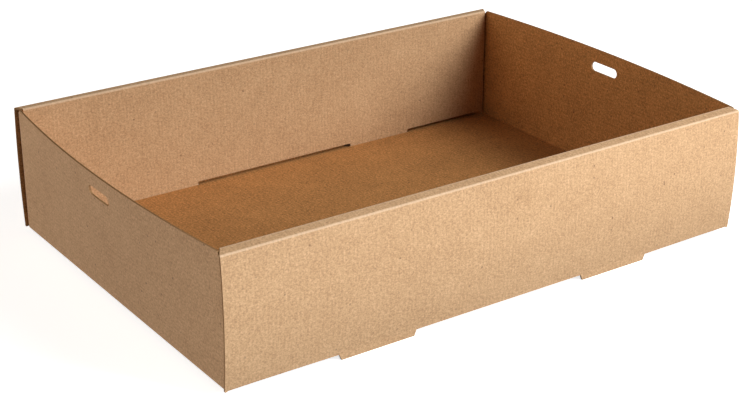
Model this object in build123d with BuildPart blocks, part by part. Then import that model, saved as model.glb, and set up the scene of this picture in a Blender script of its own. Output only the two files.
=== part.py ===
"""Open catering tray folded from one die-cut sheet of thin corrugated kraft board.

The sheet is one piece. Its two long walls are rolled over: each rises from the floor, turns
across a narrow rim and comes down again inside, where two tabs lock it through slots in the floor.
The two end walls are single panels. Their corner flaps are trapped inside the rolled walls.
Millimetres, +Z up. The origin is under the middle of the tray, on the surface it stands on.
"""
import os

from build123d import *

# Sheet and tray
board = 1.2
tray_width = 250.0
panel_length = 360.0
wall_height = 78.0
fold_radius = 1.0
fit_gap = 0.35
overrun = 5.0

# Rolled long walls
rim_width = 5.9
rim_rise = 1.3
wall_lean = 0.7
wall_bulge = 1.8
edge_lift = 2.1
panel_end_gap = 0.8

# Feet, and the locking tabs behind them
foot_drop = 3.5
foot_length = 51.4
foot_taper = 1.8
foot_spacing = 169.4
tab_end_gap = 1.3
tab_drop = 2.4
tab_corner_radius = 2.0
slot_corner_radius = 0.8

# End walls and corner flaps
end_overhang = 0.8
end_bow = 7.5
end_rise = 0.5
flap_length = 58.0
flap_lift = 2.3
flap_taper = 9.0
hole_length = 24.5
hole_height = 6.2
hole_depth = 11.8

# Levels and faces that follow from the sizes above
base_z = foot_drop
floor_z = base_z + board
edge_z = floor_z + edge_lift
cut_z = floor_z + edge_lift / 2
rim_z = base_z + wall_height
top_z = rim_z + rim_rise
flap_top_z = rim_z - board - fit_gap
end_top_z = rim_z + end_rise
half_width = tray_width / 2
half_panel = panel_length / 2
end_x = half_panel - end_overhang
inner_end_x = end_x - board - panel_end_gap
rim_y = half_width + wall_lean
inner_y = rim_y - rim_width
rim_depth = board * (1 + (rim_rise / rim_width) ** 2) ** 0.5
flap_y = inner_y + board + fit_gap
end_y = flap_y + board

# Half of the floor with one long wall, bent from a strip of even thickness
with BuildPart() as rolled_wall:
    with BuildSketch(Plane.YZ.offset(-half_panel)) as wall_section:
        with BuildLine():
            outside_face = ThreePointArc(
                (half_width, base_z),
                (half_width + wall_lean / 2 + wall_bulge, base_z + wall_height / 2),
                (rim_y, rim_z),
            )
            inside_face = ThreePointArc(
                (rim_y - board, rim_z),
                (half_width + wall_lean / 2 + wall_bulge - board, base_z + wall_height / 2),
                (half_width - board, base_z),
            )
            Line(outside_face @ 1, inside_face @ 0)
            Line(inside_face @ 1, outside_face @ 0)
        make_face()
        with Locations((0, base_z)):
            Rectangle(half_width, board, align=Align.MIN)
        Polygon(
            (rim_y, rim_z),
            (inner_y, top_z),
            (inner_y, top_z - rim_depth),
            (rim_y, rim_z - rim_depth),
        )
        with Locations((inner_y, edge_z)):
            Rectangle(board, top_z - rim_depth / 2 - edge_z, align=Align.MIN)
        creases = [outside_face @ 0, outside_face @ 1, (inner_y, top_z)]
        fillet([wall_section.vertices().sort_by_distance(crease)[0] for crease in creases], fold_radius)
    extrude(amount=panel_length)

    # The floor stops at the end folds, and the inner panel stops short of the end walls
    with BuildSketch(Plane.XY.offset(base_z - overrun)):
        with Locations((end_x - fold_radius, -overrun)):
            Rectangle(end_overhang + fold_radius + overrun, half_width - board + overrun, align=Align.MIN)
        mirror(about=Plane.YZ)
    extrude(amount=cut_z - base_z + overrun, mode=Mode.SUBTRACT)
    with BuildSketch(Plane.XY.offset(cut_z)):
        with Locations((inner_end_x, inner_y - overrun)):
            Rectangle(
                half_panel - inner_end_x + overrun,
                half_width - board - fit_gap - inner_y + overrun,
                align=Align.MIN,
            )
        mirror(about=Plane.YZ)
    extrude(amount=rim_z - board - cut_z, mode=Mode.SUBTRACT)

    # The rim's ends are mitred, so that the end walls can stand between the rims
    with BuildSketch(Plane.XY.offset(rim_z - board)):
        Polygon(
            (half_panel, rim_y),
            (inner_end_x, inner_y),
            (inner_end_x, inner_y - overrun),
            (half_panel + overrun, inner_y - overrun),
            (half_panel + overrun, rim_y),
        )
        mirror(about=Plane.YZ)
    extrude(amount=rim_rise + board + overrun, mode=Mode.SUBTRACT)

    # Slots in the floor, cut free where the feet came from
    with BuildSketch(Plane.XY.offset(base_z - overrun)) as slots:
        with Locations((-foot_spacing / 2, half_width - board), (foot_spacing / 2, half_width - board)):
            Rectangle(
                foot_length,
                half_width - board - inner_y + fit_gap,
                align=(Align.CENTER, Align.MAX),
            )
        fillet(slots.vertices().group_by(Axis.Y)[0], slot_corner_radius)
    extrude(amount=cut_z - base_z + overrun, mode=Mode.SUBTRACT)

    # Feet: tongues of the outer panel that stay upright below the floor
    with BuildSketch(Plane.XZ.offset(-half_width)):
        with Locations((-foot_spacing / 2, 0), (foot_spacing / 2, 0)):
            Polygon(
                (-foot_length / 2, floor_z),
                (-foot_length / 2, base_z),
                (-foot_length / 2 + foot_taper, 0),
                (foot_length / 2 - foot_taper, 0),
                (foot_length / 2, base_z),
                (foot_length / 2, floor_z),
            )
    extrude(amount=board)

# Locking tab at the lower edge of an inner panel
tab_length = foot_length - 2 * tab_end_gap
with BuildPart() as lock_tab:
    with BuildSketch(Plane.YZ.offset(-tab_length / 2)):
        with Locations((inner_y, base_z - tab_drop)):
            Rectangle(board, tab_drop + edge_z - base_z, align=Align.MIN)
    extrude(amount=tab_length)
    fillet(lock_tab.edges().filter_by(Axis.Y).group_by(Axis.Z)[0], tab_corner_radius)

# Corner flap, which stands close behind the inner panel
with BuildPart() as corner_flap:
    with BuildSketch(Plane.YZ.offset(end_x - flap_length)):
        with Locations((flap_y, floor_z + flap_lift)):
            Rectangle(board, flap_top_z - floor_z - flap_lift, align=Align.MIN)
    extrude(amount=flap_length - board / 2)
    chamfer(corner_flap.edges().filter_by(Axis.Y).group_by(Axis.X)[0], flap_taper)

# End wall: straight at the floor, bowed outwards along its free top edge, with a hole and notched corners
with BuildPart() as end_wall:
    with BuildSketch(Plane.XY.offset(base_z)):
        with Locations((end_x, 0)):
            Rectangle(board, 2 * end_y, align=(Align.MAX, Align.CENTER))
    with BuildSketch(Plane.XY.offset(end_top_z)):
        with BuildLine():
            outer_edge = ThreePointArc((end_x, -end_y), (end_x + end_bow, 0), (end_x, end_y))
            inner_edge = ThreePointArc(
                (end_x - board, end_y), (end_x - board + end_bow, 0), (end_x - board, -end_y)
            )
            Line(outer_edge @ 1, inner_edge @ 0)
            Line(inner_edge @ 1, outer_edge @ 0)
        make_face()
    loft(ruled=True)
    with BuildSketch(Plane.XY.offset(base_z)):
        with Locations((end_x, 0)):
            Rectangle(board + overrun, 2 * end_y, align=(Align.MAX, Align.CENTER))
    extrude(amount=board)
    middle_z = (base_z + end_top_z) / 2
    folds = [(end_x, 0, base_z), (end_x, end_y, middle_z), (end_x, -end_y, middle_z)]
    fillet([end_wall.edges().sort_by_distance(fold)[0] for fold in folds], fold_radius)
    add(corner_flap.part)
    mirror(corner_flap.part, about=Plane.XZ)
    with BuildSketch(Plane.YZ.offset(end_x - board - overrun)):
        with Locations((0, end_top_z - hole_depth)):
            SlotOverall(hole_length, hole_height)
        with Locations((inner_y, flap_top_z)):
            Rectangle(end_y - inner_y + overrun, end_top_z - flap_top_z + overrun, align=Align.MIN)
        with Locations((-inner_y, flap_top_z)):
            Rectangle(
                end_y - inner_y + overrun,
                end_top_z - flap_top_z + overrun,
                align=(Align.MAX, Align.MIN),
            )
    extrude(amount=board + end_bow + 2 * overrun, mode=Mode.SUBTRACT)

# The whole sheet, folded
with BuildPart() as folded_tray:
    add(rolled_wall.part)
    with Locations((-foot_spacing / 2, 0), (foot_spacing / 2, 0)):
        add(lock_tab.part)
    mirror(about=Plane.XZ)
    add(end_wall.part)
    mirror(end_wall.part, about=Plane.YZ)

os.makedirs("parts", exist_ok=True)
folded_tray.part.label = "folded_tray"
export_step(folded_tray.part, "parts/folded_tray.step")
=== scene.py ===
# %% [markdown]
# # A kraft tray folded from one sheet
# The tray is one die-cut sheet of thin corrugated board. Nothing is glued: two long walls are rolled over and
# lock through slots in the floor, and the end walls' corner flaps are trapped inside them. The lesson makes it
# the way it is made in real life: a flat blank is cut, it is folded, and the board gets its thickness.

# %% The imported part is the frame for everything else
import math

import bpy
import numpy as np
from mathutils import Matrix, Vector, geometry


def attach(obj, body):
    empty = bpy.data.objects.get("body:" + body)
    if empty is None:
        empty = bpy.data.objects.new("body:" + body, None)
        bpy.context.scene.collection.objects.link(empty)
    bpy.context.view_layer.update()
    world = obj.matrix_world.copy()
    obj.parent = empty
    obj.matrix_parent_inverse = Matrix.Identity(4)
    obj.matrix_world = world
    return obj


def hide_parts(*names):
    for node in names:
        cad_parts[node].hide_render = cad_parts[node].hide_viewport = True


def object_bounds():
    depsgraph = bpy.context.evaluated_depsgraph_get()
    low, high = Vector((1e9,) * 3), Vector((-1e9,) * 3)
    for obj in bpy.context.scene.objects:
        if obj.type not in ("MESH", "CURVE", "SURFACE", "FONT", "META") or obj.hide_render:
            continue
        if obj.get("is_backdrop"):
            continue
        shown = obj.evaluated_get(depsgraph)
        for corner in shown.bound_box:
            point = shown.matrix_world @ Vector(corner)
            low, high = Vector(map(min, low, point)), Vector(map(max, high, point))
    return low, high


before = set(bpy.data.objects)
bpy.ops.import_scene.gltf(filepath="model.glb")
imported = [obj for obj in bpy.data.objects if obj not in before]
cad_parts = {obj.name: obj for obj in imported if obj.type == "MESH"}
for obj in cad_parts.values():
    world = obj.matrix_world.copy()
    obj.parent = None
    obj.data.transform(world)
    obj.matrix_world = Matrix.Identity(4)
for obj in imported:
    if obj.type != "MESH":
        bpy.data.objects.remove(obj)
cad_low, cad_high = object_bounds()
print("CAD box in mm:", [round(1000 * side, 1) for side in cad_high - cad_low])

# %% [markdown]
# ## The sheet's sizes
# All sizes of the sheet are in millimetres here and become metres when the mesh is made. Heights are measured
# from the table. The board stands on four feet, so the floor panel's underside is as high as the feet are long.
# The walls' bulge and the ends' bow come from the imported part's box. The rest are the sizes of the design, but
# the rim is 0.7 mm wider than in the solid and tilted a little more, as it looks on the real tray. A hair of
# slack keeps the rounded mesh inside the box.

# %% Named sizes of the folded sheet
MM = 0.001
BOARD = 1.2
LINER = 0.33
HALF_BOARD = BOARD / 2
FIT_GAP = 0.35
SLACK = 0.04

HALF_PANEL = 180.0
HALF_WIDTH = 125.0
WALL_HEIGHT = 77.5
EDGE_LIFT = 2.1
TAB_DROP = 2.4
BASE_Z = 3.5
FLOOR_Z = BASE_Z + BOARD
MIDDLE_Z = BASE_Z + HALF_BOARD
EDGE_Z = FLOOR_Z + EDGE_LIFT
TAB_TIP_Z = BASE_Z - TAB_DROP
RIM_Z = BASE_Z + WALL_HEIGHT

RIM_WIDTH = 6.6
RIM_RISE = 1.7
WALL_LEAN = 0.7
WALL_BULGE = cad_high.y / MM - HALF_WIDTH - WALL_LEAN / 2 - SLACK
RIM_Y = HALF_WIDTH + WALL_LEAN
INNER_Y = RIM_Y - RIM_WIDTH

END_OVERHANG = 0.8
END_HEIGHT = 78.5
CORNER_DROP = 2.05
END_X = HALF_PANEL - END_OVERHANG
END_BOW = cad_high.x / MM - END_X - SLACK
END_TOP_Z = BASE_Z + END_HEIGHT
FLAP_TOP_Z = END_TOP_Z - CORNER_DROP
FLAP_Y = INNER_Y + 1.5 * BOARD + FIT_GAP
print("bulge", round(WALL_BULGE, 2), "bow", round(END_BOW, 2), "inner panel", round(INNER_Y, 2))

# %% [markdown]
# ## Creases
# A crease in corrugated board is a tight round bend, not a knife edge, and it is what catches the light along
# the rim. Each panel strip is walked as a line seen from the side, and every corner on it is turned on a small
# radius. The walk gives places, outside normals and the length along the sheet, so a spot of the flat blank can
# be looked up by its distance from the middle. A bevel modifier would round the corners too, but it wouldn't
# know how long the sheet is.

# %% Walk along a strip that is bent at its creases
CREASE_RADIUS = 0.4
CREASE_STEPS = 6
CREASE_LEAD = 1.15


def unit(vector):
    return vector / np.linalg.norm(vector)


def bent_strip(corners, creases):
    """Places, outside normals and lengths along a strip, and where its creases begin and end."""
    corners = np.array(corners, float)
    along = np.array([unit(step) for step in np.diff(corners, axis=0)])
    outside = np.stack([along[:, 1], -along[:, 0]], 1)
    places, normals, spans = [corners[0]], [outside[0]], []
    for i in range(1, len(corners) - 1):
        if i not in creases:
            places.append(corners[i])
            normals.append(unit(outside[i - 1] + outside[i]))
            continue
        turn = math.acos(outside[i - 1] @ outside[i])
        reach = CREASE_RADIUS * math.tan(turn / 2)
        lead = CREASE_LEAD * HALF_BOARD * math.tan(turn / 2)
        centre = corners[i] - along[i - 1] * reach - outside[i - 1] * CREASE_RADIUS
        places.append(corners[i] - along[i - 1] * lead)
        normals.append(outside[i - 1])
        spans.append((len(places), len(places) + CREASE_STEPS))
        for k in range(CREASE_STEPS + 1):
            c, s = math.cos(turn * k / CREASE_STEPS), math.sin(turn * k / CREASE_STEPS)
            normal = np.array([[c, -s], [s, c]]) @ outside[i - 1]
            places.append(centre + normal * CREASE_RADIUS)
            normals.append(normal)
        places.append(corners[i] + along[i] * lead)
        normals.append(outside[i])
    places, normals = np.array(places + [corners[-1]]), np.array(normals + [outside[-1]])
    lengths = np.append(0, np.cumsum(np.linalg.norm(np.diff(places, axis=0), axis=1)))
    bends = [lengths[list(span)] for span in spans]
    return {"place": places, "normal": normals, "length": lengths, "creases": bends}


# %% Look a spot up on a strip
def at_length(strip, length):
    """Place and outside normal of a strip at the given lengths along it."""
    place = [np.interp(length, strip["length"], strip["place"][:, k]) for k in (0, 1)]
    normal = [np.interp(length, strip["length"], strip["normal"][:, k]) for k in (0, 1)]
    return np.stack(place, -1), np.stack(normal, -1)


def length_at_height(strip, z, after):
    """Length along the strip where it reaches height z, past the given length."""
    past = strip["length"] >= after
    heights, lengths = strip["place"][past, 1], strip["length"][past]
    order = np.argsort(heights)
    return float(np.interp(z, heights[order], lengths[order]))


# %% [markdown]
# ## The two strips
# Seen from the end, the long strip runs from the middle of the floor up the bulging outer panel, over the
# tilted rim and straight down the inner panel to the tips of its tabs. Seen from the front, the end strip runs
# from the middle of the floor up the end wall. Both follow the middle of the board.

# %% The long wall and the end wall as bent strips
BULGE_STEPS = 14
tilt = RIM_RISE / RIM_WIDTH


def rim_corner(y):
    """Where the middle of the rim's board passes y."""
    return y, RIM_Z + tilt * (RIM_Y - y) - HALF_BOARD * math.hypot(1, tilt)


rim_out, rim_in = rim_corner(RIM_Y - HALF_BOARD), rim_corner(INNER_Y + HALF_BOARD)
bulge = [
    (
        HALF_WIDTH - HALF_BOARD + WALL_LEAN * t + 4 * WALL_BULGE * t * (1 - t),
        MIDDLE_Z + (rim_out[1] - MIDDLE_Z) * t,
    )
    for t in np.linspace(0, 1, BULGE_STEPS + 1)
]
long_corners = [(0, MIDDLE_Z), *bulge[:-1], rim_out, rim_in, (INNER_Y + HALF_BOARD, TAB_TIP_Z)]
long_strip = bent_strip(long_corners, {1, BULGE_STEPS + 1, BULGE_STEPS + 2})
end_corners = [(0, MIDDLE_Z), (END_X - HALF_BOARD, MIDDLE_Z), (END_X - HALF_BOARD, END_TOP_Z)]
end_strip = bent_strip(end_corners, {1})

(v_floor, v_wall), (v_rim_out, v_rim), (v_rim_end, v_inner) = long_strip["creases"]
v_edge = length_at_height(long_strip, EDGE_Z, v_inner)
v_tip = long_strip["length"][-1]
v_low = v_wall - (at_length(long_strip, v_wall)[0][1] - BASE_Z)
v_foot_tip = v_low - BASE_Z
(u_floor, u_wall), u_top = end_strip["creases"][0], end_strip["length"][-1]
print("half blank:", round(u_top, 1), "by", round(v_tip, 1), "mm")

# %% [markdown]
# ## Folding
# One rule takes a spot of the flat blank to its place in the folded tray. Most spots follow the long strip. The
# feet and the overhanging wall ends don't turn at the floor crease, so they stay upright, and the back rim lies a
# little flatter than the front one. The end walls follow the end strip, bow outwards towards their free top edge,
# and turn once more into the corner flaps. At the front those press against the outer panel and swell it, so the
# end walls reach right up to it there. The rule also says which spots lie in a crease, because the creasing rule
# has crushed the board there from inside.

# %% The long walls' part of the folding rule
BEND_SLOP = 1e-3
BACK_RIM_LIFT = 1.15


def between(values, span):
    return (values > span[0] - BEND_SLOP) & (values < span[1] + BEND_SLOP)


def fold_long(a, b, back, upright):
    """Places, outside normals and creases of spots that are a and b away from the blank's middle lines."""
    middle, outside = at_length(long_strip, np.where(upright, np.maximum(b, v_wall), b))
    drop = np.where(upright, np.maximum(v_wall - b, 0), 0)
    outside = np.where((drop > 0)[:, None], (1.0, 0.0), outside)
    out_share = np.clip((middle[:, 0] - INNER_Y - BOARD) / (RIM_WIDTH - BOARD), 0, 1)
    up_share = np.clip((middle[:, 1] - MIDDLE_Z) / (RIM_Z - MIDDLE_Z), 0, 1)
    lift = np.where(back > 0, BACK_RIM_LIFT * out_share * up_share, 0)
    place = np.stack([a, middle[:, 0], middle[:, 1] + lift - drop], 1)
    normal = np.stack([0 * a, outside[:, 0], outside[:, 1]], 1)
    creased = np.any([between(b, span) for span in long_strip["creases"]], 0) & ~upright
    return place, normal, creased


# %% The end walls' part of the folding rule
FLAP_TURN = CREASE_RADIUS * math.pi / 2
FOLD_V = FLAP_Y - CREASE_RADIUS
FRONT_REACH = 1.7


def fold_end(a, b, back):
    """The same for spots on an end wall or one of its corner flaps."""
    middle, outside = at_length(end_strip, a)
    y = np.minimum(b, FOLD_V)
    past = np.maximum(b - FOLD_V, 0)
    angle = np.minimum(past / CREASE_RADIUS, math.pi / 2)
    height = np.clip((middle[:, 1] - BASE_Z) / (END_TOP_Z - BASE_Z), 0, 1)
    belly = END_BOW * (1 - (y / FOLD_V) ** 2)
    inward = CREASE_RADIUS * (1 - np.cos(angle)) + np.maximum(past - FLAP_TURN, 0)
    swell = FRONT_REACH + WALL_LEAN * height + 4 * WALL_BULGE * height * (1 - height)
    to_front = np.where(back < 0, swell, 0) * y / FOLD_V
    x = middle[:, 0] + belly * height - inward
    place = np.stack([x, y + to_front + CREASE_RADIUS * np.sin(angle), middle[:, 1]], 1)
    across = 2 * END_BOW * height * y / FOLD_V**2
    up = belly / (END_TOP_Z - BASE_Z)
    normal = np.stack(
        [
            outside[:, 0] * np.cos(angle),
            outside[:, 0] * (np.sin(angle) + across * np.cos(angle)),
            outside[:, 1] - outside[:, 0] * up * np.cos(angle),
        ],
        1,
    )
    creased = between(a, (u_floor, u_wall)) | between(b, (FOLD_V, FOLD_V + FLAP_TURN))
    return place, normal, creased


# %% The whole rule, for all four quarters of the blank
NEAR = 0.1
CLEAR = 0.5


def fold(u, v, upright):
    """Places and outside normals, in mm, of blank spots, and which of them lie in a crease."""
    right, back, a, b = np.where(u < 0, -1, 1), np.where(v < 0, -1, 1), np.abs(u), np.abs(v)
    place, normal, creased = fold_long(a, b, back, upright)
    end = (a > u_floor) & ~upright & ((b < FOLD_V + NEAR) | (a > HALF_PANEL + CLEAR))
    place[end], normal[end], creased[end] = fold_end(a[end], b[end], back[end])
    signs = np.stack([right, back, np.ones(len(u))], 1)
    normal /= np.linalg.norm(normal, axis=1)[:, None]
    return place * signs, normal * signs, creased


# %% [markdown]
# ## The die-cut blank
# The blank is cut flat by a steel rule die. Its outline is drawn for one corner and mirrored. Inside it are four
# U-shaped cuts, which free the feet and leave the slots that the locking tabs go through, and an oblong hole in
# each end wall. The rims' ends are mitred, so that the end walls can stand between them, and the end walls' top
# corners slope down to pass under the rims. A short toe at each end of an inner panel reaches down to the floor.

# %% Sizes of the blank's feet, tabs, flaps and holes
FOOT_U = 84.7
FOOT_HALF = 25.7
FOOT_TAPER = 1.8
TAB_END_GAP = 1.3
TAB_HALF = FOOT_HALF - TAB_END_GAP
TAB_CORNER = 2.0
PANEL_END_GAP = 1.1
INNER_END = END_X - BOARD - PANEL_END_GAP
TOE_LENGTH = 3.0
TOE_DROP = 1.6
RELIEF = 0.3
CORNER_INSET = 0.3
FLAP_LENGTH = 58.0
FLAP_TAPER = 9.0
FLAP_LIFT = 2.3
HOLE_HALF = 24.5 / 2
HOLE_RADIUS = 6.2 / 2
HOLE_DEPTH = 11.8

u_hole = length_at_height(end_strip, END_TOP_Z - HOLE_DEPTH, u_wall)
u_flap = length_at_height(end_strip, FLOOR_Z + FLAP_LIFT, u_wall)
u_flap_top = length_at_height(end_strip, FLAP_TOP_Z, u_wall)
v_slot = v_floor - (HALF_WIDTH - HALF_BOARD - CREASE_RADIUS - INNER_Y + FIT_GAP)
v_flap = FOLD_V + FLAP_TURN + FLAP_LENGTH - HALF_BOARD - CREASE_RADIUS
print("hole at", round(u_hole, 1), "slot at", round(v_slot, 1), "flap ends at", round(v_flap, 1), "mm")

# %% Outline of one corner, from the middle of the inner panel round to the end wall
TAB_ARC = np.linspace(0, math.pi / 2, 5)


def tab_side(side):
    """Rounded corner of a locking tab's tip, on its left (-1) or right (1)."""
    u, v = FOOT_U + side * (TAB_HALF - TAB_CORNER), v_tip - TAB_CORNER
    return [(u + side * TAB_CORNER * math.cos(t), v + TAB_CORNER * math.sin(t)) for t in TAB_ARC]


corner = [(FOOT_U - TAB_HALF, v_edge), *tab_side(-1), *tab_side(1)[::-1], (FOOT_U + TAB_HALF, v_edge)]
corner += [(INNER_END - TOE_LENGTH, v_edge), (INNER_END - TOE_LENGTH / 2, v_edge + TOE_DROP)]
corner += [(INNER_END, v_edge + TOE_DROP), (INNER_END, (v_rim_end + v_inner) / 2)]
corner += [(HALF_PANEL, (v_rim_out + v_rim) / 2)]
corner += [(HALF_PANEL, v_low), (u_floor + RELIEF, v_low), (u_floor + RELIEF / 2, v_wall)]
corner += [(u_floor, v_floor), (u_floor, FOLD_V), (u_flap, FOLD_V), (u_flap, v_flap - FLAP_TAPER)]
corner += [(u_flap + FLAP_TAPER, v_flap), (u_flap_top - FLAP_TAPER, v_flap)]
corner += [(u_flap_top, v_flap - FLAP_TAPER), (u_flap_top, FOLD_V - CORNER_INSET), (u_top, INNER_Y)]
corner = np.array(corner)
print("corner:", len(corner), "points")

# %% The whole outline, with its slots and holes
HOLE_ARC = np.linspace(-math.pi / 2, math.pi / 2, 13)


def mirrored(points, right, back):
    """The points in another quarter of the blank, still in the same sense round."""
    return (points * (right, back))[:: right * back]


quarters = [(1, 1), (1, -1), (-1, -1), (-1, 1)]
outline = np.concatenate([mirrored(corner, *quarter) for quarter in quarters])
foot_tip = FOOT_HALF - FOOT_TAPER
foot = [(-FOOT_HALF, v_wall), (-foot_tip, v_foot_tip), (foot_tip, v_foot_tip), (FOOT_HALF, v_wall)]
slot = np.array(foot + [(FOOT_HALF, v_slot), (-FOOT_HALF, v_slot)]) + (FOOT_U, 0)
half_hole = np.stack(
    [u_hole + HOLE_RADIUS * np.sin(HOLE_ARC), HOLE_HALF - HOLE_RADIUS * (1 - np.cos(HOLE_ARC))], 1
)
hole = np.concatenate([half_hole, (half_hole * (1, -1))[::-1]])
loops = [outline, *[mirrored(slot, *quarter) for quarter in quarters], hole, mirrored(hole, -1, 1)]
print("loops:", [len(loop) for loop in loops])

# %% [markdown]
# ## Lines along the bends
# A triangulation that keeps given lines fills the outline. The long walls need a line at each step of their
# bulge and creases, and the end walls need lines up and across because they are bowed.

# %% Lines that the triangles have to follow
END_COLUMNS = 30
END_ROWS = 8
lines = [[(-HALF_PANEL, s * v), (HALF_PANEL, s * v)] for v in long_strip["length"][1:-1] for s in (-1, 1)]
up_end = [*end_strip["length"][1:-1], *np.linspace(u_wall, u_top, END_ROWS + 2)[2:-1]]
lines += [[(s * u, -FOLD_V), (s * u, FOLD_V)] for u in up_end for s in (-1, 1)]
for v in np.linspace(-FOLD_V, FOLD_V, END_COLUMNS + 1)[1:-1]:
    lines += [[(s * u_floor, v), (s * u_top, v)] for s in (-1, 1)]
flap_lead = CREASE_LEAD * HALF_BOARD - CREASE_RADIUS
for past in [-flap_lead, *np.linspace(0, FLAP_TURN, CREASE_STEPS + 1), FLAP_TURN + flap_lead]:
    v = FOLD_V + past
    lines += [[(s * u_wall, t * v), (s * u_top, t * v)] for s, t in quarters]
print("lines:", len(lines))

# %% Fill the outline with triangles that follow the lines
SAME_SPOT = 1e-4
spots, joins = [], []
for loop in loops:
    joins += [(len(spots) + k, len(spots) + (k + 1) % len(loop)) for k in range(len(loop))]
    spots += [Vector(point) for point in loop]
for line in lines:
    joins.append((len(spots), len(spots) + 1))
    spots += [Vector(point) for point in line]
spots, _, triangles, *_ = geometry.delaunay_2d_cdt(spots, joins, [], 0, SAME_SPOT)
flat = np.array([spot[:] for spot in spots])
triangles = np.array(triangles)


def inside(points):
    """Which points lie on board: inside the outline and outside its holes."""
    odd = np.zeros(len(points), bool)
    for loop in loops:
        for (x0, y0), (x1, y1) in zip(loop, np.roll(loop, -1, 0)):
            crosses = (y0 > points[:, 1]) != (y1 > points[:, 1])
            height = np.where(crosses, y1 - y0, 1)
            odd ^= crosses & (points[:, 0] < x0 + (x1 - x0) * (points[:, 1] - y0) / height)
    return odd


triangles = triangles[inside(flat[triangles].mean(1))]
used, triangles = np.unique(triangles, return_inverse=True)
flat, triangles = flat[used], triangles.reshape(-1, 3)
print("blank:", len(flat), "spots,", len(triangles), "triangles")

# %% [markdown]
# ## Cut edges
# Corrugated board is two paper liners with a fluted paper between them. On a cut edge the liners show as two thin
# lines with a darker hollow between. A Solidify modifier would close the edge with a flat band, so the edge is
# built here: each liner keeps its thickness and the space between them is set back. A cut that crosses the
# flutes is set back furthest, to leave room for them. A cut along the flutes is deep where it opens one and
# shallow where it runs on a crest, and since the sheet never lies quite square in the die, it goes slowly from
# one to the other.

# %% Find the upright spots and the cut edges of the blank
TOUCH = 0.01
a, b = np.abs(flat[:, 0]), np.abs(flat[:, 1])
in_foot = (np.abs(a - FOOT_U) < FOOT_HALF + TOUCH) & (b > v_foot_tip - TOUCH) & (b < v_wall)
in_overhang = (a > u_floor + RELIEF / 4) & (a < HALF_PANEL + CLEAR) & (b > FOLD_V + CLEAR) & (b < v_wall)
upright = in_foot | in_overhang

directed = np.concatenate([triangles[:, [i, (i + 1) % 3]] for i in range(3)])
known = {(i, j) for i, j in directed}
rim_edges = np.array([(i, j) for i, j in directed if (j, i) not in known])
before = {j: i for i, j in rim_edges}
after = {i: j for i, j in rim_edges}
print("upright spots:", int(upright.sum()), "cut edges:", len(rim_edges))

# %% How far the hollow behind a cut is set back
FLUTE_PITCH = 2.385
FLUTE_SKEW = 0.005
FLUTE_DEPTH = 2.2
SHALLOW, DEEP = 0.12, 1.1
ALONG = 0.99
STRAIGHT = 0.999
SHARPEST = 0.2
WALL_ZONE = 10
flute_start = -u_top + FLUTE_SKEW * INNER_Y


def cut_depth(i, step):
    """How far the hollow goes in behind a cut at spot i that runs in the direction step."""
    in_hole = abs(a[i] - u_hole) < HOLE_RADIUS + NEAR
    if abs(step[0]) > ALONG and b[i] > v_floor - WALL_ZONE:
        return FLUTE_DEPTH
    if abs(step[1]) < ALONG or in_hole:
        return SHALLOW
    phase = (flat[i, 0] + FLUTE_SKEW * flat[i, 1] - flute_start) / FLUTE_PITCH
    return SHALLOW + DEEP * (0.5 + 0.5 * math.cos(2 * math.pi * phase))


def set_back(i):
    """The spot where the hollow behind a cut edge ends: offset from both edges that meet there."""
    rows, depths = [], []
    for p, q in ((before[i], i), (i, after[i])):
        step = unit(flat[q] - flat[p])
        rows.append((-step[1], step[0]))
        depths.append(cut_depth(i, step))
    if np.dot(*rows) > STRAIGHT:
        return flat[i] + np.mean(rows, 0) * min(depths)
    if abs(np.linalg.det(rows)) < SHARPEST:
        return flat[i] + unit(np.mean(rows, 0)) * SHALLOW
    return flat[i] + np.linalg.solve(rows, depths)


rim_spots = rim_edges[:, 0]
backs = np.array([set_back(i) for i in rim_spots])
setback = np.linalg.norm(backs - flat[rim_spots], axis=1)
print("hollows set back by", round(setback.min(), 2), "to", round(setback.max(), 2), "mm")

# %% [markdown]
# ## Board thickness
# The folded sheet gets its two liners, half a board to either side of its middle, and is thinner on the inside of
# a crease. Each cut edge is closed by five narrow faces: the outside liner's edge, the hollow's three sides, and the
# inside liner's edge.

# %% Give the folded sheet its thickness
CRUSHED_HALF = CREASE_RADIUS - 0.05
THINNEST_CORE = 0.1
EDGE_FACES = 5
row_of = {i: k for k, i in enumerate(rim_spots)}
count = len(flat)
middle, outside, creased = fold(flat[:, 0], flat[:, 1], upright)
back_middle, back_outside, _ = fold(backs[:, 0], backs[:, 1], upright[rim_spots])
inner_half = np.where(creased, CRUSHED_HALF, HALF_BOARD)[:, None]
core, inner_core = HALF_BOARD - LINER, np.maximum(inner_half - LINER, THINNEST_CORE)[rim_spots]
layers = [
    middle + outside * HALF_BOARD,
    middle - outside * inner_half,
    middle[rim_spots] + outside[rim_spots] * core,
    back_middle + back_outside * core,
    back_middle - back_outside * inner_core,
    middle[rim_spots] - outside[rim_spots] * inner_core,
]
starts = np.cumsum([0] + [len(layer) for layer in layers])
faces = [tuple(int(i) for i in t[::-1]) for t in triangles]
faces += [tuple(int(i) + count for i in t) for t in triangles]
for i, j in rim_edges:
    p, q = row_of[i], row_of[j]
    chain_p = [i, *[starts[k] + p for k in (2, 3, 4, 5)], i + count]
    chain_q = [j, *[starts[k] + q for k in (2, 3, 4, 5)], j + count]
    for k in range(EDGE_FACES):
        faces.append(tuple(int(n) for n in (chain_p[k], chain_q[k], chain_q[k + 1], chain_p[k + 1])))
sheet_mesh = bpy.data.meshes.new("kraft_tray")
sheet_mesh.from_pydata((np.concatenate(layers) * MM).tolist(), [], faces)
print("sheet:", len(sheet_mesh.vertices), "vertices,", len(sheet_mesh.polygons), "faces")

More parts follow.
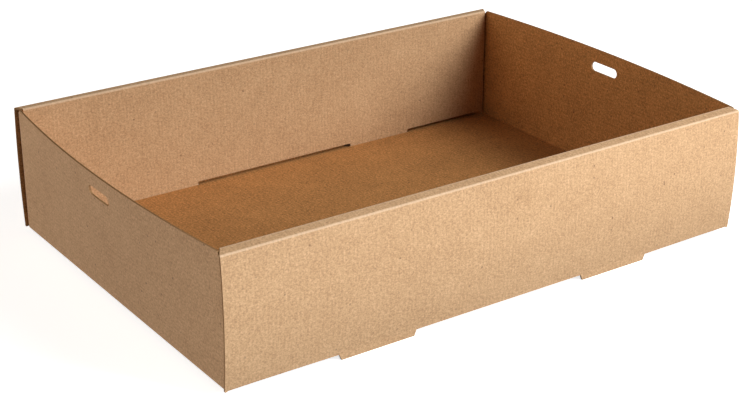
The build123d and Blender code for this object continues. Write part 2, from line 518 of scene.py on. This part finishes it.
# %% [markdown]
# ## Where each spot was on the blank
# Paper fibres, flutes and specks were in the sheet before it was folded. Each vertex therefore keeps its place on
# the flat blank as an attribute, in metres, and the finish reads that in place of its place in space. The third
# number says which liner it is on, so the two sides don't show the same specks.

# %% Keep the blank's coordinates and the creases as attributes
SIDE_STEP = 40
SHARP_ANGLE = 40
places = np.concatenate([flat, flat, flat[rim_spots], backs, backs, flat[rim_spots]])
sides = np.concatenate([np.full(len(layer), s) for layer, s in zip(layers, (1, -1, 1, 1, -1, -1))])
blank = (np.column_stack([places, sides * SIDE_STEP]) * MM).astype(np.float32)
sheet_mesh.attributes.new("blank", "FLOAT_VECTOR", "POINT").data.foreach_set("vector", blank.ravel())
# The crease mask pales the liners there: partly wear of the rubbed liner, partly a painted highlight along the
# crease.
crease_wear_and_highlight = np.concatenate([creased, creased, *[creased[rim_spots]] * 4]).astype(np.float32)
sheet_mesh.attributes.new("crease", "FLOAT", "POINT").data.foreach_set("value", crease_wear_and_highlight)

sheet_mesh.shade_smooth()
sheet_mesh.set_sharp_from_angle(angle=math.radians(SHARP_ANGLE))
tray = bpy.data.objects.new("kraft_tray", sheet_mesh)
bpy.context.collection.objects.link(tray)
print("vertices in a crease:", int(crease_wear_and_highlight.sum()))

# %% [markdown]
# ## Finishes
# One small function turns a hex colour to the linear values that a shader needs, and another adds a node with its
# settings and links.

# %% Helpers for colours and nodes
def linear(colour):
    """Linear RGBA of an sRGB hex colour."""
    channels = [int(colour[i : i + 2], 16) / 255 for i in (1, 3, 5)]
    return (*[c / 12.92 if c <= 0.04045 else ((c + 0.055) / 1.055) ** 2.4 for c in channels], 1.0)


def add(tree, kind, inputs=None, **settings):
    """Add a node, set its properties, and fill or link its inputs by name or number."""
    node = tree.nodes.new(kind)
    for name, value in settings.items():
        setattr(node, name, value)
    for key, value in (inputs or {}).items():
        if isinstance(value, bpy.types.NodeSocket):
            tree.links.new(value, node.inputs[key])
        else:
            node.inputs[key].default_value = value
    return node


def new_material(name):
    material = bpy.data.materials.new(name)
    material.use_nodes = True
    material.node_tree.nodes.clear()
    return material, material.node_tree


# %% [markdown]
# ## Kraft liners
# The board's two liners are unbleached paper made from softwood fibres on a moving wire. They are matt and warm
# brown. Close up they are cloudy and finely speckled, with a few dark specks of bark, and the flutes show through
# as faint lines up the walls. Single fibres are too fine for the picture, so the finest speckle is drawn about a
# millimetre wide. The outside liner is the paler of the two. It also shows on the rims and on the inner panels,
# because the long walls are rolled over. The inside liner is a redder brown, and shows on the floor and on the
# inside of the end walls. Both are made by one function, with each pattern sized in millimetres on the flat blank.

# %% Patterns of the liner papers
SPECK_CELL = 8.0
SPECK_RADIUS = 0.8
SPECK_CORE = 0.4
SPECK_STRENGTH = 0.8
SPECK_RARITY = 12.0
# A wave texture of scale 1 has 20 / (2 pi) bands in a metre.
WAVE_SCALE = 20


def paper_noise(tree, sheet, length, width, turn=0.0):
    """Noise drawn out to marks of a length and width in mm, turned on the sheet by an angle in degrees."""
    scale = (length * MM, width * MM, length * MM)
    settings = {"Vector": sheet, "Rotation": (0, 0, math.radians(turn)), "Scale": scale}
    place = add(tree, "ShaderNodeMapping", settings, vector_type="TEXTURE").outputs[0]
    return add(tree, "ShaderNodeTexNoise", {"Vector": place, "Scale": 1.0, "Detail": 2.0}).outputs["Fac"]


def flute_lines(tree, sheet):
    """Soft bands at the flute pitch, skewed as the flutes are."""
    turned = {"Vector": sheet, "Rotation": (0, 0, -math.atan(FLUTE_SKEW))}
    settings = {
        "Vector": add(tree, "ShaderNodeMapping", turned).outputs[0],
        "Scale": 2 * math.pi / (WAVE_SCALE * FLUTE_PITCH * MM),
        "Distortion": 0.5,
        "Detail": 1.0,
        "Detail Scale": 0.3,
    }
    bands = add(tree, "ShaderNodeTexWave", settings, wave_type="BANDS", bands_direction="X")
    return bands.outputs["Fac"]


def bark_specks(tree, sheet):
    """One speck in each cell of the sheet, most of them faint."""
    settings = {"Vector": sheet, "Scale": 1 / (SPECK_CELL * MM)}
    cells = add(tree, "ShaderNodeTexVoronoi", settings, voronoi_dimensions="2D")
    reach = SPECK_RADIUS / SPECK_CELL
    shape = {0: cells.outputs["Distance"], 1: reach, 2: SPECK_CORE * reach, 3: 0.0, 4: SPECK_STRENGTH}
    round_mark = add(tree, "ShaderNodeMapRange", shape).outputs[0]
    chance = add(tree, "ShaderNodeSeparateColor", {0: cells.outputs["Color"]}).outputs[0]
    strength = add(tree, "ShaderNodeMath", {0: chance, 1: SPECK_RARITY}, operation="POWER").outputs[0]
    return add(tree, "ShaderNodeMath", {0: round_mark, 1: strength}, operation="MULTIPLY").outputs[0]


# %% A liner paper from its dark, middle and light tones
TONE_REACH = 0.17
WEAR_AND_HIGHLIGHT_SHARE = 0.5


def paper_tone(tree, sheet):
    """All patterns of the paper summed, each by its share, and the sum's middle value."""
    patterns = [
        (paper_noise(tree, sheet, 45, 35), 0.10),
        (paper_noise(tree, sheet, 9, 7), 0.12),
        (paper_noise(tree, sheet, 2.0, 1.7, turn=30), 0.36),
        (paper_noise(tree, sheet, 1.0, 0.9), 0.60),
        (paper_noise(tree, sheet, 1.3, 8.0), 0.16),
        (flute_lines(tree, sheet), 0.03),
    ]
    tone = 0.0
    for pattern, share in patterns:
        sums = {0: pattern, 1: share, 2: tone}
        tone = add(tree, "ShaderNodeMath", sums, operation="MULTIPLY_ADD").outputs[0]
    return tone, sum(share for _, share in patterns) / 2


def kraft_liner(name, tones, bark, wear_and_highlight_colour):
    """Matt kraft paper: tones by the patterns, with bark specks, and paler in a crease, partly wear and partly
    painted highlight.
    """
    material, tree = new_material(name)
    sheet = add(tree, "ShaderNodeAttribute", attribute_name="blank").outputs["Vector"]
    crease = add(tree, "ShaderNodeAttribute", attribute_name="crease").outputs["Fac"]
    tone, middle = paper_tone(tree, sheet)
    ramp = add(tree, "ShaderNodeValToRGB", {"Fac": tone})
    ramp.color_ramp.elements.new(0.5)
    for element, side, colour in zip(ramp.color_ramp.elements, (-1, 0, 1), tones):
        element.position = middle + side * TONE_REACH
        element.color = linear(colour)
    marks = {"Factor": bark_specks(tree, sheet), 6: ramp.outputs["Color"], 7: linear(bark)}
    specked = add(tree, "ShaderNodeMix", marks, data_type="RGBA").outputs[2]
    # Paler paper in the creases: partly wear of the rubbed liner, partly a painted highlight.
    rubbed_and_highlit = add(tree, "ShaderNodeMath", {0: crease, 1: WEAR_AND_HIGHLIGHT_SHARE}, operation="MULTIPLY").outputs[0]
    shades = {"Factor": rubbed_and_highlit, 6: specked, 7: linear(wear_and_highlight_colour)}
    colour = add(tree, "ShaderNodeMix", shades, data_type="RGBA").outputs[2]
    bumps = {"Strength": 0.3, "Distance": 0.1 * MM, "Height": tone}
    relief = add(tree, "ShaderNodeBump", bumps).outputs[0]
    finish = {"Base Color": colour, "Roughness": 0.86, "IOR": 1.47, "Normal": relief}
    paper = add(tree, "ShaderNodeBsdfPrincipled", finish)
    add(tree, "ShaderNodeOutputMaterial", {"Surface": paper.outputs[0]})
    print(name, len(tree.nodes), "nodes")
    return material


# The last colour of each liner is its crease colour: partly wear, partly painted highlight.
outside_liner = kraft_liner("kraft_outside_liner", ("#B18A63", "#CBA379", "#E0BA8F"), "#6B4A30", "#ECCFAE")
inside_liner = kraft_liner("kraft_inside_liner", ("#936839", "#C1884C", "#E1A364"), "#54351B", "#CC9A62")

# %% [markdown]
# ## Cut edge paper
# A cut edge shows the fluting paper, which is coarser and darker than the liners. Its hollows hold shadow, so the
# edge reads as a thin dark line.

# %% The cut edge's raw paper
GRIT = 0.8
edge, tree = new_material("cut_fluting_paper")
place = add(tree, "ShaderNodeTexCoord").outputs["Object"]
grain = {"Vector": place, "Scale": 1 / (GRIT * MM), "Detail": 3.0}
coarse = add(tree, "ShaderNodeTexNoise", grain).outputs["Fac"]
ramp = add(tree, "ShaderNodeValToRGB", {"Fac": coarse})
for element, position, colour in zip(ramp.color_ramp.elements, (0.3, 0.7), ("#9A744C", "#BC9466")):
    element.position = position
    element.color = linear(colour)
finish = {"Base Color": ramp.outputs["Color"], "Roughness": 0.95, "IOR": 1.45}
paper = add(tree, "ShaderNodeBsdfPrincipled", finish)
add(tree, "ShaderNodeOutputMaterial", {"Surface": paper.outputs[0]})

for paper in (outside_liner, inside_liner, edge):
    sheet_mesh.materials.append(paper)
paper_of_face = np.repeat((0, 1, 2), (len(triangles), len(triangles), EDGE_FACES * len(rim_edges)))
sheet_mesh.polygons.foreach_set("material_index", paper_of_face.astype(np.int32))
print("faces of each paper:", np.bincount(paper_of_face).tolist())

# %% [markdown]
# ## Flutes
# Where a cut crosses the flutes, the wavy middle paper shows as a row of small arches. That is so on the feet's
# tips, the tabs' tips, the slots and the inner panels' lower edges. The arches are one wave of paper, repeated
# at the flute pitch along each of those cuts, which is work for a node tree: its inputs are the wave's sizes.
# No two cuts crush the paper alike, so each wave is a little shorter or longer.

# %% The cuts that cross the flutes, as lines with a turn
EDGE_INSET = 0.05
INTO_BOARD = 0.5
cuts = [
    (FOOT_U - foot_tip, FOOT_U + foot_tip, v_foot_tip, 1),
    (FOOT_U - FOOT_HALF, FOOT_U + FOOT_HALF, v_slot, -1),
    (FOOT_U - TAB_HALF + TAB_CORNER, FOOT_U + TAB_HALF - TAB_CORNER, v_tip, -1),
    (FOOT_U + TAB_HALF, INNER_END - TOE_LENGTH, v_edge, -1),
    (0.0, FOOT_U - TAB_HALF, v_edge, -1),
]
ends, turns = [], []
for low, high, v, way in cuts:
    wave_count = int((high - low) / FLUTE_PITCH) - 1
    reach = wave_count * FLUTE_PITCH / 2 + BEND_SLOP
    u = (low + high) / 2 + np.array([-reach, reach, -reach])
    inset = way * np.array([EDGE_INSET, EDGE_INSET, EDGE_INSET + INTO_BOARD])
    for right, back in quarters:
        spot, normal, _ = fold(right * u, back * (v + inset), np.full(3, v == v_foot_tip))
        into = Vector(unit(spot[2] - spot[0]))
        face = Vector(normal[0])
        turn = Matrix((face.cross(into), face, into)).transposed().to_euler()
        ends += [Vector(spot[0]) * MM, Vector(spot[1]) * MM]
        turns += [*turn, *turn]
cut_mesh = bpy.data.meshes.new("cut_lines")
cut_mesh.from_pydata(ends, [(k, k + 1) for k in range(0, len(ends), 2)], [])
cut_mesh.attributes.new("turn", "FLOAT_VECTOR", "POINT").data.foreach_set("vector", turns)
flutes = bpy.data.objects.new("cut_flutes", cut_mesh)
bpy.context.collection.objects.link(flutes)
print("cuts across the flutes:", len(ends) // 2)

# %% A node tree with the wave's sizes as its inputs
waves = bpy.data.node_groups.new("flute_waves", "GeometryNodeTree")
waves.interface.new_socket("Lines", in_out="INPUT", socket_type="NodeSocketGeometry")
sizes = {"Pitch": FLUTE_PITCH * MM, "Height": 0.62 * MM, "Depth": 2.0 * MM, "Paper": 0.12 * MM}
sockets = {}
for name in sizes:
    socket = waves.interface.new_socket(name, in_out="INPUT", socket_type="NodeSocketFloat")
    sockets[name] = socket.identifier
waves.interface.new_socket("Flutes", in_out="OUTPUT", socket_type="NodeSocketGeometry")
given = add(waves, "NodeGroupInput").outputs
print("wave sizes in mm:", {name: round(value / MM, 3) for name, value in sizes.items()})

# %% One wave of paper
WAVE_STEPS = 8
step = add(waves, "ShaderNodeMath", {0: given["Pitch"], 1: float(WAVE_STEPS)}, operation="DIVIDE").outputs[0]
back_half = add(waves, "ShaderNodeMath", {0: given["Pitch"], 1: -0.5}, operation="MULTIPLY").outputs[0]
first = add(waves, "ShaderNodeCombineXYZ", {"X": back_half}).outputs[0]
offset = add(waves, "ShaderNodeCombineXYZ", {"X": step}).outputs[0]
spacing = {"Count": WAVE_STEPS + 1, "Start Location": first, "Offset": offset}
row = add(waves, "GeometryNodeMeshLine", spacing).outputs[0]
spot = add(waves, "GeometryNodeInputPosition").outputs[0]
x = add(waves, "ShaderNodeSeparateXYZ", {0: spot}).outputs["X"]
cycles = add(waves, "ShaderNodeMath", {0: x, 1: given["Pitch"]}, operation="DIVIDE").outputs[0]
angle = add(waves, "ShaderNodeMath", {0: cycles, 1: 2 * math.pi}, operation="MULTIPLY").outputs[0]
swing = add(waves, "ShaderNodeMath", {0: angle}, operation="COSINE").outputs[0]
half_height = add(waves, "ShaderNodeMath", {0: given["Height"], 1: 0.5}, operation="MULTIPLY").outputs[0]
lift = add(waves, "ShaderNodeMath", {0: swing, 1: half_height}, operation="MULTIPLY").outputs[0]
wave_offset = add(waves, "ShaderNodeCombineXYZ", {"Y": lift}).outputs[0]
wave = add(waves, "GeometryNodeSetPosition", {"Geometry": row, "Offset": wave_offset}).outputs[0]
inwards = add(waves, "ShaderNodeCombineXYZ", {"Z": given["Depth"]}).outputs[0]
ribbon = add(waves, "GeometryNodeExtrudeMesh", {"Mesh": wave, "Offset": inwards}, mode="EDGES").outputs[0]
swelling = {"Mesh": ribbon, "Offset Scale": given["Paper"], "Individual": False}
thick = add(waves, "GeometryNodeExtrudeMesh", swelling, mode="FACES").outputs[0]
underside = add(waves, "GeometryNodeFlipFaces", {"Mesh": ribbon}).outputs[0]
both = add(waves, "GeometryNodeJoinGeometry", {0: thick})
waves.links.new(underside, both.inputs[0])
merging = {"Geometry": both.outputs[0], "Distance": 1e-6}
closed = add(waves, "GeometryNodeMergeByDistance", merging).outputs[0]
print("nodes for one wave:", len(waves.nodes))

# %% One wave after another along the cuts
line = add(waves, "GeometryNodeMeshToCurve", {"Mesh": given["Lines"]}).outputs[0]
dividing = {"Curve": line, "Length": given["Pitch"]}
points = add(waves, "GeometryNodeCurveToPoints", dividing, mode="LENGTH").outputs[0]
turn = add(waves, "GeometryNodeInputNamedAttribute", {"Name": "turn"}, data_type="FLOAT_VECTOR").outputs[0]
spread = {"Min": (1.0, 0.9, 0.85), "Max": (1.0, 1.0, 1.0), "Seed": 7}
size = add(waves, "FunctionNodeRandomValue", spread, data_type="FLOAT_VECTOR").outputs[0]
placing = {"Points": points, "Instance": closed, "Rotation": turn, "Scale": size}
set_out = add(waves, "GeometryNodeInstanceOnPoints", placing).outputs[0]
real = add(waves, "GeometryNodeRealizeInstances", {"Geometry": set_out}).outputs[0]
painted = add(waves, "GeometryNodeSetMaterial", {"Geometry": real, "Material": edge}).outputs[0]
add(waves, "NodeGroupOutput", {0: painted})
print("nodes in the tree:", len(waves.nodes))

# %% Turn the row of waves to a plain mesh
modifier = flutes.modifiers.new("flute_waves", "NODES")
modifier.node_group = waves
for name, value in sizes.items():
    modifier[sockets[name]] = value
evaluated = flutes.evaluated_get(bpy.context.evaluated_depsgraph_get())
flute_mesh = bpy.data.meshes.new_from_object(evaluated)
flutes.modifiers.clear()
flutes.data = flute_mesh
print("flutes:", len(flute_mesh.polygons), "faces")

for piece in (tray, flutes):
    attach(piece, "root")
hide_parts("folded_tray")

# %% [markdown]
# ## Studio
# The tray stands on a white table that runs out of view. One large soft light stands at the front right, about 30
# degrees up. It lights the front wall and the inside of the back wall, and the right end and part of the floor lie
# in the walls' shadow with soft edges. Strips no higher than the rim light the front and back walls from outside, so
# their light doesn't get into the tray. Two weak warm lights at the left bring out the left end and, over it, the
# inside of the right end.

# %% White table
TABLE_HALF = 4.0
scene = bpy.context.scene
scene.view_settings.view_transform = "Standard"
corners = [(x * TABLE_HALF, y * TABLE_HALF, 0) for x, y in ((-1, -1), (1, -1), (1, 1), (-1, 1))]
table_mesh = bpy.data.meshes.new("table")
table_mesh.from_pydata(corners, [], [(0, 1, 2, 3)])
table = bpy.data.objects.new("table", table_mesh)
bpy.context.collection.objects.link(table)
white, tree = new_material("white_table")
glow = {"Emission Color": linear("#FFFFFF"), "Emission Strength": 0.75}
surface = add(tree, "ShaderNodeBsdfPrincipled", {"Base Color": linear("#F7F6F4"), "Roughness": 0.9, **glow})
add(tree, "ShaderNodeOutputMaterial", {"Surface": surface.outputs[0]})
table_mesh.materials.append(white)
table.visible_diffuse = False
table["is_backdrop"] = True
print("table:", 2 * TABLE_HALF, "m wide")

# %% Soft lights
TRAY_MIDDLE = (0, 0, 0.04)
WARM = "#FFF1E4"
WORLD_STRENGTH = 0.04


def soft_light(name, place, width, height, watts, tint="#FFFFFF"):
    """A rectangular soft light that faces the tray and stays out of the picture."""
    light = bpy.data.lights.new(name, "AREA")
    light.shape, light.size, light.size_y = "RECTANGLE", width, height
    light.energy, light.color = watts, linear(tint)[:3]
    lamp = bpy.data.objects.new(name, light)
    bpy.context.collection.objects.link(lamp)
    lamp.location = place
    lamp.rotation_euler = (Vector(TRAY_MIDDLE) - lamp.location).to_track_quat("-Z", "Y").to_euler()
    lamp.visible_camera = False


soft_light("key", (1.25, -1.48, 1.13), 1.2, 1.3, 55)
soft_light("front_card", (0.02, -0.235, 0.078), 0.8, 0.01, 0.27)
soft_light("back_card", (0.9, 1.6, 0.045), 1.4, 0.06, 10.0)
soft_light("left_card", (-1.5, 0.6, 0.12), 1.2, 0.24, 4.5, WARM)
soft_light("left_fill", (-1.4, 0.5, 0.7), 1.2, 0.8, 7.0, WARM)
world = bpy.data.worlds.new("studio")
world.use_nodes = True
sky = world.node_tree.nodes["Background"].inputs
sky["Color"].default_value = linear("#FFFFFF")
sky["Strength"].default_value = WORLD_STRENGTH
scene.world = world
print("lights:", len(bpy.data.lights))

# %% [markdown]
# ## Camera
# The camera stands where the photograph was taken from. Its place, turn and lens were found by matching the tray's
# corners to the picture.

# %% Camera at the photograph's angle
CAMERA_PLACE = (-0.5317, -0.7703, 0.4298)
CAMERA_TURN = (66.393, 0.0, -34.608)
CAMERA_LENS = 78.84
camera = bpy.data.objects.new("camera", bpy.data.cameras.new("camera"))
bpy.context.collection.objects.link(camera)
camera.location = CAMERA_PLACE
camera.rotation_euler = [math.radians(turn) for turn in CAMERA_TURN]
camera.data.lens = CAMERA_LENS
scene.camera = camera
print("camera:", round(Vector(CAMERA_PLACE).length, 2), "m from the tray")

# %% [markdown]
# ## Size
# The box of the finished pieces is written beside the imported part's box, so that the two can be compared.

# %% Sizes, for comparison with the CAD box
low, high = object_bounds()
print("visual box in mm:", [round(1000 * side, 1) for side in high - low])
